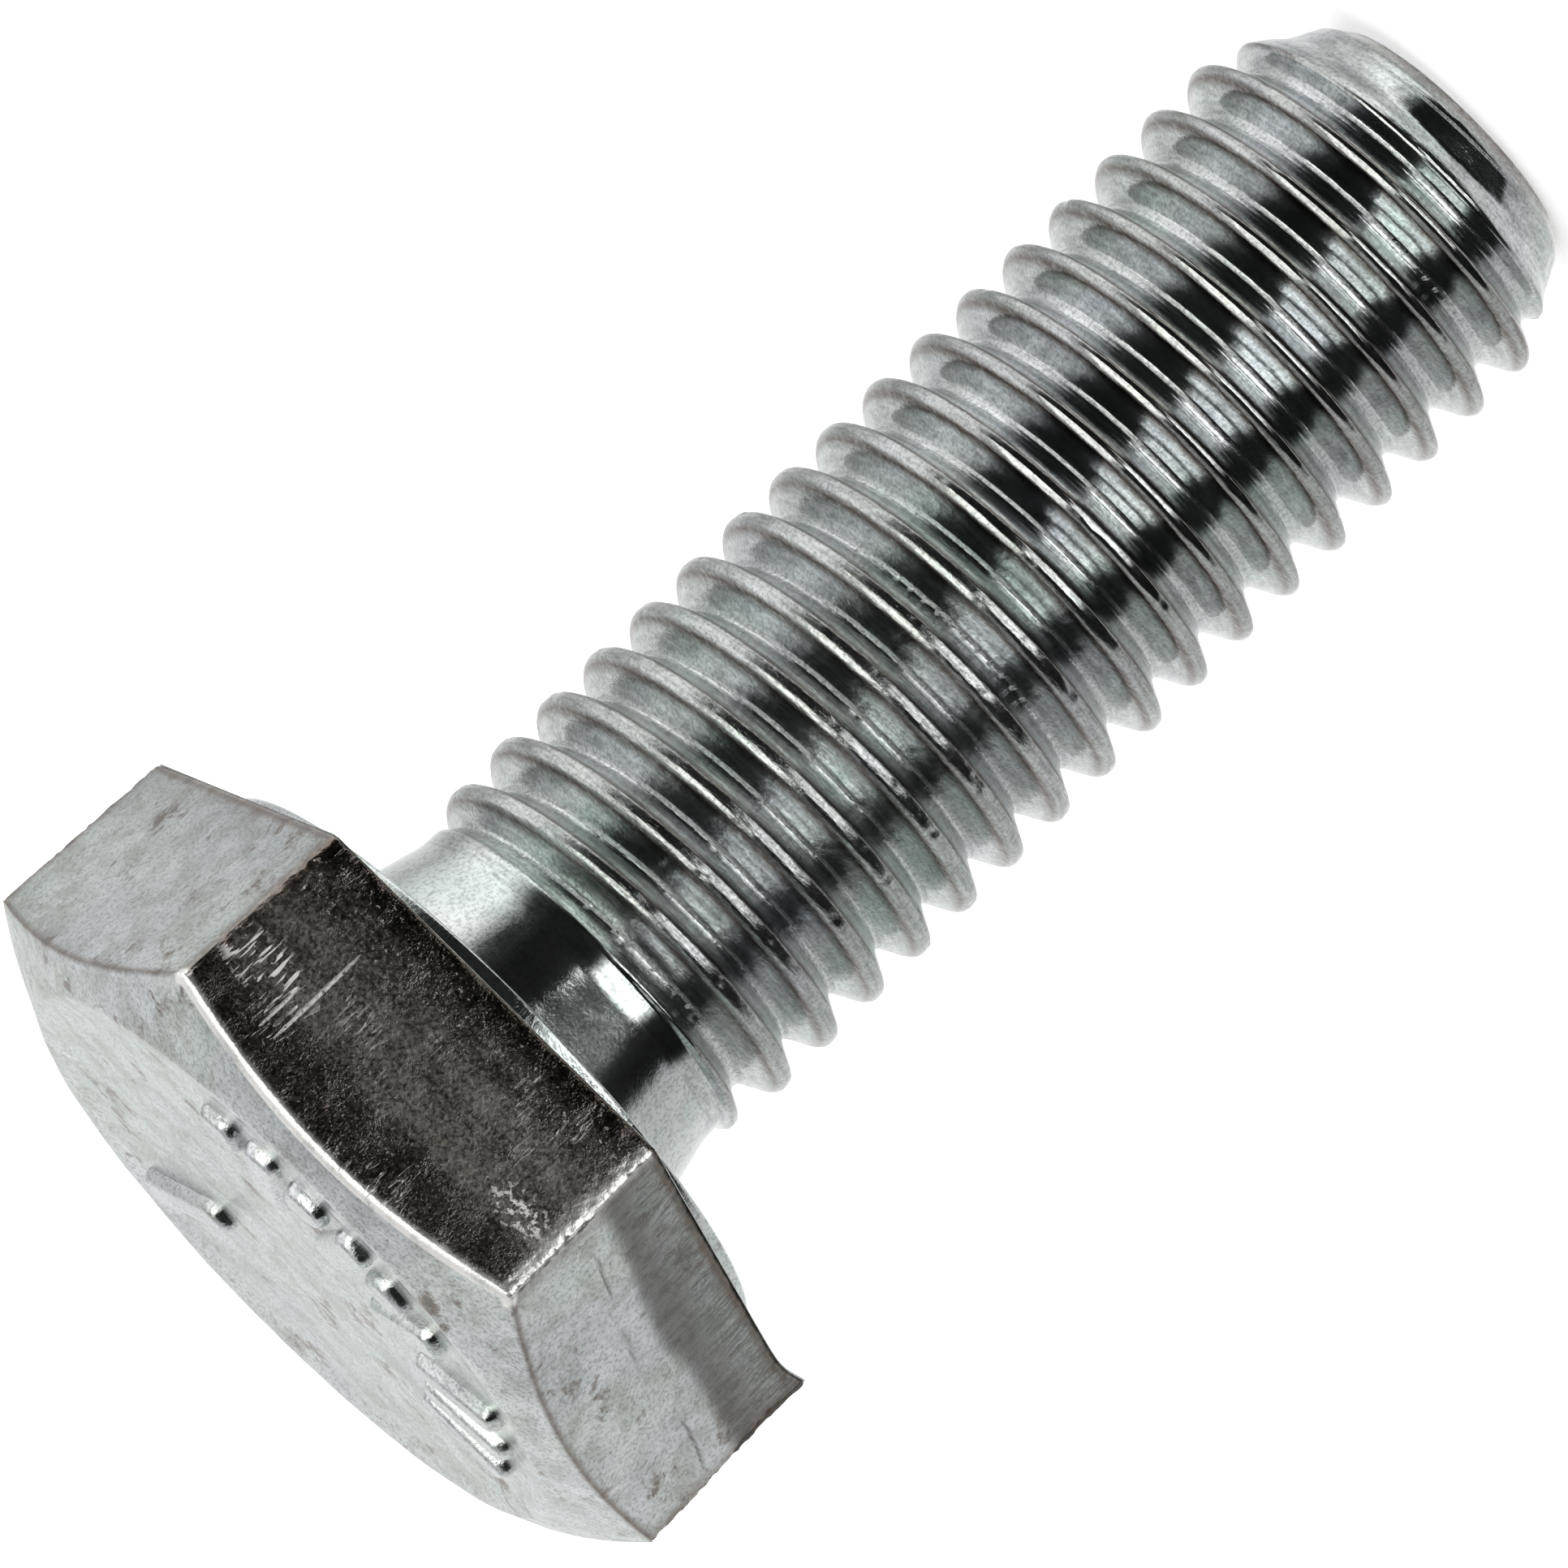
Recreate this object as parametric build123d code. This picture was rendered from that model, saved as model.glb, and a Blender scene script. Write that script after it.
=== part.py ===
from build123d import *
import math
import os

# Fully threaded hex bolt, M12 x 1.75, with a heavy (21 mm) hexagon head.
# Millimetres. +Z runs out of the top of the head; the origin is the centre of the
# bearing face under the head, so the shank and its thread run down along -Z.
# The flats of the head face -Y, +Y and 30 degrees either side of +X and -X.

# Hexagon head
ACROSS_FLATS = 21.0
HEAD_HEIGHT = 7.5            # bearing face to the rim of the top
HEAD_TOP_DIAMETER = 19.0     # flat rim inside the chamfer
HEAD_CHAMFER_ANGLE = 27.0    # slope of the chamfer below the horizontal, in degrees
DISH_DIAMETER = 17.6         # the top is sunk a little inside its rim
DISH_DEPTH = 0.15
DISH_SLOPE_WIDTH = 0.6

# Washer face pressed under the hexagon
WASHER_FACE_DIAMETER = 19.4
WASHER_FACE_HEIGHT = 0.5

# Plain neck between the head and the thread
NECK_DIAMETER = 11.1
NECK_LENGTH = 2.7
NECK_FILLET = 0.7

# Thread: ISO metric coarse, right-hand, single start
PITCH = 1.75
MAJOR_DIAMETER = 11.86       # over the crests, inside the 6g limits
MINOR_DIAMETER = 9.85        # at the bottom of the root
FLANK_HALF_ANGLE = 30.0
CREST_WIDTH = 0.25
RUNOUT_LENGTH = 1.9          # incomplete thread below the neck
RUNOUT_GAP = 0.35            # the groove stops this far below the neck
GROOVE_END_ANGLE = 78.0      # where the groove stops, counter-clockwise from +X
GROOVE_OVERCUT = 0.08        # how far the groove's section passes the crests

# Whole bolt
LENGTH = 36.2                # bearing face to the end of the point
POINT_LENGTH = 3.0           # chamfer and rounded end together
POINT_EDGE_RADIUS = 4.6      # where the chamfer meets the rounded end
POINT_EDGE_HEIGHT = 0.7
POINT_FLAT_RADIUS = 3.9

# Raised marks on the top of the head: plain bars and dots with no meaning
MARK_HEIGHT = 0.35           # above the floor of the dish
MARK_BARS = [                # angle, radius of the middle, length along the radius, width
    (-184.0, 6.6, 3.1, 1.0),
    (-170.0, 6.6, 3.1, 1.0),
    (-156.0, 6.6, 3.1, 1.0),
    (-133.0, 5.9, 3.0, 1.2),
    (-105.0, 5.9, 3.0, 1.2),
    (-77.0, 5.9, 3.0, 1.2),
    (54.0, 6.0, 4.2, 1.1),
]
MARK_DOT_ANGLES = [-119.0, -91.0, -63.0]
MARK_DOT_RADIUS = 6.6        # from the axis to the middle of a dot
MARK_DOT_DIAMETER = 1.4


def turned(points):
    """Revolve a closed outline of (radius, z) points about the Z axis."""
    outline = make_face(Plane.XZ * Polyline(*points, close=True))
    return revolve(outline, axis=Axis.Z)


def hex_head():
    """Hexagon prism, chamfered round the top, with a shallow dish in the top."""
    corner_radius = ACROSS_FLATS / 2 / math.cos(math.radians(30))
    hexagon = Pos(0, 0, WASHER_FACE_HEIGHT) * RegularPolygon(corner_radius, 6)
    prism = extrude(hexagon, HEAD_HEIGHT - WASHER_FACE_HEIGHT)
    reach = corner_radius + 1
    rim = HEAD_TOP_DIAMETER / 2
    drop = (reach - rim) * math.tan(math.radians(HEAD_CHAMFER_ANGLE))
    envelope = turned(
        [(0, 0), (reach, 0), (reach, HEAD_HEIGHT - drop), (rim, HEAD_HEIGHT), (0, HEAD_HEIGHT)]
    )
    floor = HEAD_HEIGHT - DISH_DEPTH
    lip = DISH_DIAMETER / 2
    dish = turned([(0, floor), (lip - DISH_SLOPE_WIDTH, floor), (lip, HEAD_HEIGHT), (0, HEAD_HEIGHT)])
    return (prism & envelope) - dish


def head_marks():
    """Raised bars and dots on the floor of the dish."""
    on_floor = (Align.CENTER, Align.CENTER, Align.MIN)
    floor = HEAD_HEIGHT - DISH_DEPTH
    marks = []
    for angle, radius, length, width in MARK_BARS:
        bar = Box(length, width, MARK_HEIGHT, align=on_floor)
        marks.append(Rot(0, 0, angle) * Pos(radius, 0, floor) * bar)
    for angle in MARK_DOT_ANGLES:
        dot = Cylinder(MARK_DOT_DIAMETER / 2, MARK_HEIGHT, align=on_floor)
        marks.append(Rot(0, 0, angle) * Pos(MARK_DOT_RADIUS, 0, floor) * dot)
    return Compound(children=marks)


def washer_face():
    """Thin round pad under the hexagon that bears on the work."""
    upward = (Align.CENTER, Align.CENTER, Align.MIN)
    return Cylinder(WASHER_FACE_DIAMETER / 2, WASHER_FACE_HEIGHT, align=upward)


def neck():
    """Plain cylinder under the head, filleted out into the bearing face."""
    radius = NECK_DIAMETER / 2
    blank = turned(
        [
            (0, 0),
            (radius + NECK_FILLET, 0),
            (radius + NECK_FILLET, -NECK_FILLET),
            (radius, -NECK_FILLET),
            (radius, -NECK_LENGTH),
            (0, -NECK_LENGTH),
        ]
    )
    hollow = Pos(0, 0, -NECK_FILLET) * Torus(radius + NECK_FILLET, NECK_FILLET)
    return blank - hollow


def thread_groove():
    """Helical cutter whose section is the space between two thread crests."""
    crest = MAJOR_DIAMETER / 2
    root = MINOR_DIAMETER / 2
    slope = math.tan(math.radians(FLANK_HALF_ANGLE))
    outer = crest + GROOVE_OVERCUT
    half_mouth = (PITCH - CREST_WIDTH) / 2 + GROOVE_OVERCUT * slope
    half_root = half_mouth - (outer - root) * slope
    section = make_face(
        Plane.XZ
        * Polyline(
            (root, -half_root),
            (outer, -half_mouth),
            (outer, half_mouth),
            (root, half_root),
            close=True,
        )
    )
    low = -LENGTH - PITCH
    height = -NECK_LENGTH - RUNOUT_GAP - low
    groove = sweep(section, path=Helix(PITCH, height, root), is_frenet=True)
    start_angle = GROOVE_END_ANGLE - 360 * height / PITCH
    return Rot(0, 0, start_angle) * (Pos(0, 0, low) * groove)


def threaded_shank():
    """Threaded bar, coned down into the neck and chamfered at the point."""
    crest = MAJOR_DIAMETER / 2
    low = -LENGTH - 2 * PITCH
    downward = (Align.CENTER, Align.CENTER, Align.MAX)
    bar = Pos(0, 0, -NECK_LENGTH) * Cylinder(crest, -NECK_LENGTH - low, align=downward)
    point_start = -LENGTH + POINT_LENGTH
    envelope = turned(
        [
            (0, -NECK_LENGTH),
            (NECK_DIAMETER / 2, -NECK_LENGTH),
            (crest, -NECK_LENGTH - RUNOUT_LENGTH),
            (crest + 1, -NECK_LENGTH - RUNOUT_LENGTH),
            (crest + 1, point_start),
            (crest, point_start),
            (POINT_EDGE_RADIUS, -LENGTH + POINT_EDGE_HEIGHT),
            (POINT_FLAT_RADIUS, -LENGTH),
            (0, -LENGTH),
        ]
    )
    return (bar - thread_groove()) & envelope


NODES = {
    "hex_head": hex_head,
    "head_marks": head_marks,
    "washer_face": washer_face,
    "neck": neck,
    "threaded_shank": threaded_shank,
}

os.makedirs("parts", exist_ok=True)
for name, build in NODES.items():
    export_step(build(), f"parts/{name}.step")
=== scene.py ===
import itertools
import math

import bpy
import numpy as np
from mathutils import Matrix, Vector


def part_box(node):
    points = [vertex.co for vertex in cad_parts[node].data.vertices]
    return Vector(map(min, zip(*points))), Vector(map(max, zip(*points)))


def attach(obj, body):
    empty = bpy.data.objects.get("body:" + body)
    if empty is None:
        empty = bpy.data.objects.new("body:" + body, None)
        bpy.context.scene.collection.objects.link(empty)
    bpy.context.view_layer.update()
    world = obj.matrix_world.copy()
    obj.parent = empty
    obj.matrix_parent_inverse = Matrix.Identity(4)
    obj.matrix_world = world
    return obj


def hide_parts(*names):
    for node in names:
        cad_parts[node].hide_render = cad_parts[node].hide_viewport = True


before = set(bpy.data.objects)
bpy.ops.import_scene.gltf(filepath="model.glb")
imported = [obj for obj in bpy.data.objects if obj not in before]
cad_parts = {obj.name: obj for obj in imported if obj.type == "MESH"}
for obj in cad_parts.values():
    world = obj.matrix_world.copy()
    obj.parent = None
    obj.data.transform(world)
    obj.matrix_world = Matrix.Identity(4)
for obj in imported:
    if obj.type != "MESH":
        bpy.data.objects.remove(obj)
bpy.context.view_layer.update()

# A zinc-plated hex bolt standing on its point. Lengths in this script are millimetres in the
# bolt's own frame (+Z out of the head, origin in the bearing face) until a mesh is made.
MM = 0.001


def node_box(node):
    """Lowest and highest corner of a CAD node, in millimetres."""
    low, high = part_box(node)
    return np.array(low) / MM, np.array(high) / MM


HEX_LOW, HEX_HIGH = node_box("hex_head")
_, WASHER_HIGH = node_box("washer_face")
NECK_LOW, NECK_HIGH = node_box("neck")
SHANK_LOW, SHANK_HIGH = node_box("threaded_shank")
MARKS_LOW, MARKS_HIGH = node_box("head_marks")

# Head
FLAT_DISTANCE = HEX_HIGH[1]              # axis to a flat
HEAD_BASE = HEX_LOW[2]
HEAD_TOP = HEX_HIGH[2]
CORNER_ROUNDING = 0.32
HEAD_TAPER = 0.012                       # share by which the hexagon widens over TAPER_SPAN
TAPER_MIDDLE = 4.0                       # height at which the hexagon has its true width
TAPER_SPAN = 3.5
TOP_RIM_RADIUS = 9.5
CHAMFER_SLOPE = math.tan(math.radians(27))
DISH_RADIUS = 8.7
DISH_DEPTH = HEAD_TOP - MARKS_LOW[2]
EDGE_ROUND = 0.2                         # radius of the edge round the head's foot
UNDERSIDE_LIFT = 0.02                    # the underside lies this far above the hexagon's base
SECTORS = 6
COLUMNS_PER_SECTOR = 110
TORN_FACET, FRONT_FACET = 3, 4           # counted round from the one that faces 30 degrees
TORN_HEIGHT = 2.9                        # top of the metal that tore when the hexagon was trimmed
BURR_AT_X = -12.0                        # the corner that has a burr
BURR_SIZE = (0.06, 0.40)                 # how far the burr sticks out and down
BURR_REACH = 0.5
FOOT_SHADE = (3.8, 0.2)                  # painted shade: the flats darken from one height down to the other

# Raised marks: angle, radius of the middle, length, width
MARK_BARS = [
    (-184, 6.6, 3.1, 1.0),
    (-170, 6.6, 3.1, 1.0),
    (-156, 6.6, 3.1, 1.0),
    (-133, 5.9, 3.0, 1.2),
    (-105, 5.9, 3.0, 1.2),
    (-77, 5.9, 3.0, 1.2),
    (54, 6.0, 4.2, 1.1),
]
MARK_DOTS = [(angle, 6.6, 1.4, 1.4) for angle in (-119, -91, -63)]
MARK_HEIGHT = MARKS_HIGH[2] - MARKS_LOW[2]
# A mark's wall: how far each row is grown outward, and its height
MARK_WALL = [
    (0.06, -0.05),
    (0.03, 0.03),
    (0.01, 0.13),
    (-0.04, 0.22),
    (-0.10, 0.31),
    (-0.17, 0.34),
    (-0.26, 0.35),
]
MARK_TOP_SHARES = (0.7, 0.4, 0.1)        # rings across a mark's top, as shares of its last row
MARK_CORNER_SHARE = 0.75                 # corner radius, as a share of half the mark's narrow side
MARK_COLUMNS = 64

# Washer face and neck
WASHER_RADIUS = WASHER_HIGH[0]
FLARE_RADIUS = NECK_HIGH[0]
NECK_FILLET = 0.22
NECK_RADIUS = FLARE_RADIUS - NECK_FILLET
WAIST_RADIUS = 5.39
WAIST_DEPTH = 2.74                       # the neck narrows down to here; the thread starts below
NECK_END = NECK_LOW[2]
TURNED_COLUMNS = 360

# Thread
PITCH = 1.75
CREST_RADIUS = SHANK_HIGH[0]
ROOT_RADIUS = 4.93
CREST_FLATS = (0.39, 0.24)               # width of the crest near the head and near the point
CREST_CHANGE = (15, 25)                  # depths between which it narrows
CREST_LEAN = 0.07                        # slope of the worn crest, down towards the point
CREST_BLENDS = (0.25, 0.09)              # rounding of the crest's edges: the head's side, the point's
ROOT_BLEND = 0.20
FLANK_SLOPE = 1 / math.tan(math.radians(30))
CREST_HEIGHT_AT_X = -0.86                # height of a crest at angle 0, give or take whole pitches
THREAD_START = (3.22, 3.5)               # depths between which the thread replaces the plain neck
# The run-out: depths, and the crest's radii there
CREST_DEPTHS = [2.8, 3.1, 3.55, 4.4, 5.2]
CREST_RADII = [WAIST_RADIUS, 5.52, 5.68, 5.82, CREST_RADIUS - 0.02]
ROOT_START = (3.1, 4.05)                 # depths between which the root is cut down
ROUGH_END = (14, 22)                     # depths between which the rough upper thread ends
ROWS_PER_TURN = 26
CREST_CROWDING = 0.6                     # share of the row spacing taken away at a crest
SHANK_COLUMNS = 320
TIP = SHANK_LOW[2]
# The point's chamfer: heights over the end of the bolt, and its radii there
POINT_HEIGHTS = [0.0, 0.4, 1.3, 1.75, 2.33, 3.0, 3.6]
POINT_RADII = [3.85, 4.4, 4.85, 5.25, 5.6, 5.9, 6.3]
END_TILT = 0.09                          # the sheared end rises this much from one edge to its axis
END_SHARES = (0.96, 0.88, 0.76, 0.62, 0.48, 0.34, 0.2, 0.08)  # rings across it, by its radius

# The front flat. Bands are (height as a share of FLAT_HEIGHT, strength). Knocks and scratches are
# (middle, size), in millimetres across the flat and up it.
FLAT_HEIGHT = 7.0
HAZE_BANDS = [
    (0.15, 0.0),
    (0.22, 0.5),
    (0.3, 0.55),
    (0.42, 0.95),
    (0.5, 0.75),
    (0.66, 0.85),
    (0.78, 0.32),
]
FLECKED_FOOT = [(0.06, 0.0), (0.14, 0.2), (0.2, 0.9), (0.3, 0.8), (0.38, 0.05)]
KNOCK_LEFT = ((-4.7, 4.3), (1.7, 0.7))
KNOCK_RIGHT = ((4.7, 4.4), (1.9, 0.8))
LONG_SCRATCH = ((3.2, 4.0), (0.07, 1.7))
SHORT_SCRATCH = ((3.7, 4.9), (0.06, 0.8))

# Colours
ZINC_GREEN = (0.652, 0.722, 0.700)
ZINC_GREY = (0.685, 0.722, 0.710)
ZINC_VIOLET = (0.675, 0.704, 0.722)
MOTTLE_DARK = (0.80, 0.785, 0.76)
MOTTLE_LIGHT = (1.03, 1.03, 1.03)
BROWN = (0.20, 0.165, 0.14, 1)
CREST_BROWN = (0.12, 0.095, 0.08, 1)
TORN_GREY = (0.20, 0.20, 0.19, 1)
# painted shade: the darker brown of the front flat
FRONT_SHADE_BROWN = (0.40, 0.357, 0.323, 1)
SCRATCHED_METAL = (0.9, 0.9, 0.88, 1)
# rubbed metal and a painted highlight, on the front flat's edges
GLINT_RUB_METAL = (0.97, 0.96, 0.93, 1)

# Camera
VIEW_AZIMUTH = math.radians(-6.8)
VIEW_ELEVATION = math.radians(11.2)
VIEW_ROLL = math.atan2(0.696, 0.718)     # the bolt's axis leans this far from upright in the frame
VIEW_WIDTH = 41.63                       # width of the frame at the bolt
VIEW_CENTRE_HEIGHT = -10.95
VIEW_CENTRE_SIDE = 0.106
LENS = 1200
SENSOR = 36

# Softbox: layers, one behind the other, that step its edges down softly.
# Each is width, low edge, high edge, strength.
SOFTBOX_AZIMUTH = -30
SOFTBOX_DISTANCE = 200
LAYER_SPACING = 1
SOFTBOX_LAYERS = [(124, -125, -34, 1.3), (142, -138, -31, 0.7), (162, -152, -28, 0.4)]
LOW_SOFTBOX = (205, -300, -190, 2.4)

# Surround, seen only in reflections: its brightness by azimuth (0 in front of the bolt, more to
# the right), a roof by height over the horizon, and a strip of light over the dark bay. In degrees.
SURROUND = [
    (-180, 1.02),
    (-150, 0.92),
    (-130, 0.79),
    (-108, 0.75),
    (-97, 0.68),
    (-91, 0.66),
    (-84, 0.006),
    (30, 0.006),
    (45, 0.05),
    (58, 1.0),
    (66, 1.4),
    (88, 1.4),
    (102, 1.1),
    (127, 0.62),
    (150, 0.86),
    (180, 1.02),
]
ROOF = [(-90, 0.0), (48, 0.0), (66, 1.0), (90, 1.0)]
STRIP_UPWARD = [(12, 0.0), (17, 1.0), (68, 1.0), (78, 0.0)]
STRIP_AROUND = [(-16, 0.0), (-8, 1.0), (42, 1.0), (52, 0.0)]
ROOF_LIGHT = (0.6, 0.6, 0.6, 1)
STRIP_LIGHT = (2.2, 2.2, 2.1, 1)
BACKDROP_LIGHT = (1.06, 1.06, 1.06, 1)   # what the camera and the diffuse light see

SEED = 11
LATTICE_SIZE = 32
LATTICE = np.random.default_rng(SEED).random((LATTICE_SIZE,) * 3)


# ---------------------------------------------------------------- noise and shaping


def noise(points, cell, seed=0):
    """Smooth random values from 0 to 1; cell is the size of a feature along each axis."""
    place = points / np.asarray(cell, float) + seed * 5.37
    base = np.floor(place).astype(int)
    part = place - base
    part = part * part * (3 - 2 * part)
    total = np.zeros(points.shape[:-1])
    for step in itertools.product((0, 1), repeat=3):
        index = (base + step) % LATTICE_SIZE
        weight = np.prod(np.where(step, part, 1 - part), axis=-1)
        total += LATTICE[index[..., 0], index[..., 1], index[..., 2]] * weight
    return total


def fractal(points, cell, octaves, seed=0):
    """Noise at several scales, each half as big as the last; -1 to 1."""
    total = np.zeros(points.shape[:-1])
    size = 0.0
    for octave in range(octaves):
        weight = 0.5**octave
        total += weight * (noise(points, np.asarray(cell, float) * weight, seed + octave) * 2 - 1)
        size += weight
    return total / size


def smooth_step(low, high, value):
    """From 0 at low to 1 at high, smoothly; low may be the larger of the two."""
    t = np.clip((value - low) / (high - low), 0, 1)
    return t * t * (3 - 2 * t)


def smooth_min(a, b, blend):
    """The smaller of two values, rounded over where they are within a blend of each other."""
    h = np.clip(0.5 + 0.5 * (b - a) / blend, 0, 1)
    return b + (a - b) * h - blend * h * (1 - h)


def smooth_max(a, b, blend):
    """The larger of two values, rounded over in the same way."""
    return -smooth_min(-a, -b, blend)


def bump(value, centre, width):
    """1 at the centre, and down to about a third one width away from it."""
    return np.exp(-(((value - centre) / width) ** 2))


# ---------------------------------------------------------------- meshes


def add_piece(name, vertices, faces, attributes=None):
    """A mesh piece from points in millimetres, with values for the materials on its points."""
    mesh = bpy.data.meshes.new(name)
    mesh.from_pydata((vertices * MM).tolist(), [], faces)
    for key, values in (attributes or {}).items():
        is_vector = values.size == vertices.size
        layer = mesh.attributes.new(key, "FLOAT_VECTOR" if is_vector else "FLOAT", "POINT")
        flat = values.reshape(-1).astype(np.float32)
        layer.data.foreach_set("vector" if is_vector else "value", flat)
    mesh.shade_smooth()
    piece = bpy.data.objects.new(name, mesh)
    bpy.context.scene.collection.objects.link(piece)
    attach(piece, "root")
    return piece


def ring_faces(rows, columns):
    """Quads between rings of points that lie one after the other."""
    row = np.arange(rows - 1)[:, None] * columns
    column = np.arange(columns)[None, :]
    after = (column + 1) % columns
    corners = [row + column, row + after, row + columns + after, row + columns + column]
    return np.stack(corners, axis=-1).reshape(-1, 4).tolist()


def ring_mesh(name, points, attributes=None, close_end=False):
    """A surface from rows of points round the axis: points[row, column] in millimetres."""
    rows, columns, _ = points.shape
    faces = ring_faces(rows, columns)
    if close_end:
        faces.append(list(range((rows - 1) * columns, rows * columns)))
    return add_piece(name, points.reshape(-1, 3), faces, attributes)


def round_columns(count):
    """Angles spaced evenly round the axis."""
    return np.linspace(0, 2 * math.pi, count, endpoint=False)


def polar(angle, radius, height):
    """Points from an angle and radius about the bolt's axis, and a height."""
    shape = np.broadcast_shapes(np.shape(angle), np.shape(radius), np.shape(height))
    angle, radius, height = (np.broadcast_to(v, shape) for v in (angle, radius, height))
    return np.stack([radius * np.cos(angle), radius * np.sin(angle), height], axis=-1)


# ---------------------------------------------------------------- thread


def neck_radius(depth):
    """Radius of the neck, which tapers from the head to a waist just above the thread."""
    taper = (NECK_RADIUS - WAIST_RADIUS) / (WAIST_DEPTH - NECK_FILLET)
    return WAIST_RADIUS + smooth_max(taper * (WAIST_DEPTH - depth), 0 * depth, 0.08)


def half_crest(depth):
    """Half the width of the crest, which narrows towards the point."""
    wide, narrow = CREST_FLATS
    return (wide + (narrow - wide) * smooth_step(*CREST_CHANGE, depth)) / 2


def thread_radius(angle, z):
    """Radius of the threaded bar, share of the way from root to crest, and offset from a crest.

    The offset runs along the axis and is positive towards the head. A crest's radius is looked up
    at the depth of its own middle, so that only its lean slopes it, in the run-out too.
    """
    turn = (z - CREST_HEIGHT_AT_X) / PITCH - angle / (2 * math.pi)
    across = ((turn + 0.5) % 1 - 0.5) * PITCH
    depth = -z
    crest = np.interp(depth + across, CREST_DEPTHS, CREST_RADII) + across * CREST_LEAN
    root = WAIST_RADIUS + (ROOT_RADIUS - WAIST_RADIUS) * smooth_step(*ROOT_START, depth)
    flank = crest - (np.abs(across) - half_crest(depth)) * FLANK_SLOPE
    blend = np.where(across > 0, CREST_BLENDS[0], CREST_BLENDS[1])
    started = smooth_step(*THREAD_START, depth)
    profile = smooth_max(smooth_min(crest, flank, blend), root, ROOT_BLEND)
    radius = neck_radius(depth) * (1 - started) + profile * started
    crestness = np.clip((radius - root) / np.maximum(crest - root, 0.05), 0, 1)
    return radius, crestness * started, across


def point_envelope(height):
    """Radius of the point's chamfer at a height above the end of the bolt, corners eased."""
    ease = 0.06
    shifted = [np.interp(height + shift, POINT_HEIGHTS, POINT_RADII) for shift in (-ease, 0, ease)]
    return sum(shifted) / 3


def helix_rows():
    """Rows that run along the thread, closest at the crests: whole numbers are crests."""
    first = math.ceil((NECK_END - CREST_HEIGHT_AT_X) / PITCH)
    last = math.floor((TIP - CREST_HEIGHT_AT_X) / PITCH) - 1
    steps = np.arange((first - last) * ROWS_PER_TURN + 1)
    turn = first - steps / ROWS_PER_TURN
    return turn - CREST_CROWDING * np.sin(2 * math.pi * turn) / (2 * math.pi)


def spiral_faces(above, below, columns):
    """Quads along the thread; a row that has wound once round joins the row a turn before it.

    Points past either end of the shank are all the one end point of their column.
    """
    rows = above.shape[0]
    own = np.arange(rows * columns).reshape(rows, columns)
    top, bottom = rows * columns, (rows + 1) * columns
    own = np.where(above, top + np.arange(columns), own)
    own = np.where(below, bottom + np.arange(columns), own)
    wound = np.full((rows, 1), top)
    wound[ROWS_PER_TURN:] = own[:-ROWS_PER_TURN, :1]
    grid = np.concatenate([own, wound], axis=1)
    quads = np.stack([grid[:-1, 1:], grid[:-1, :-1], grid[1:, :-1], grid[1:, 1:]], axis=-1)
    faces = []
    for quad in quads.reshape(-1, 4).tolist():
        corners = list(dict.fromkeys(quad))
        if len(corners) > 2:
            faces.append(corners)
    return faces


def thread_wear(angle, z, radius, crestness, across):
    """The rolled thread's fine lines, pits, nicks and the fold along each crest.

    Gives the worn radius, coordinates that run along the helix, and how rough each place is.
    """
    flat = polar(angle, radius, z)
    along = polar(angle, 6.0, 4 * z)
    helix = np.concatenate([across[..., None], along[..., :2]], axis=-1)
    helix[..., 2] += 4 * z
    started = smooth_step(*THREAD_START, -z)
    rough_zone = (1 - smooth_step(*ROUGH_END, -z) * 0.8) * started
    rolled = fractal(helix, (0.10, 2.5, 2.5), octaves=2, seed=3)
    lines = rolled * (0.001 + 0.004 * rough_zone) * started
    pits = np.clip(fractal(flat, 0.30, octaves=2, seed=9) - 0.2, 0, 1) * 0.05 * rough_zone
    nicks = smooth_step(0.70, 0.95, noise(flat, (0.9, 0.9, 0.4), seed=21)) * crestness**4 * 0.03
    lobes = bump(across, -0.05, 0.07) * noise(flat, 1.1, seed=5) * 0.006
    fold = bump(across, 0.12, 0.03) * smooth_step(0.4, 0.7, noise(flat, 1.6, seed=6)) * 0.02
    ragged = fractal(flat, 0.2, octaves=2, seed=12) * 0.006 * crestness**4
    on_crest = crestness**6 * started
    return radius + lines - pits - nicks + (lobes - fold) * on_crest + ragged, helix, rough_zone


def tarnish_lines(across, depth, height, past_cut, crestness):
    """Brown lines beside and on each crest, along the chamfer's edge, and round the very end."""
    half = half_crest(depth)
    beside = bump(across, -half - 0.05, 0.08) + bump(across, half + 0.12, 0.08)
    middle = bump(across, 0.02, 0.2) * 0.32
    uncut = 1 - smooth_step(-0.12, 0.05, past_cut)
    lines = np.clip(beside + middle, 0, 1) * smooth_step(0.45, 0.7, crestness) * uncut
    chamfer_edge = bump(past_cut, 0, 0.06) * smooth_step(0.3, 0.6, crestness) * 0.9
    end_edge = bump(height, 0.05, 0.36) * 0.9
    return np.maximum(np.maximum(lines, chamfer_edge), end_edge)


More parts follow.
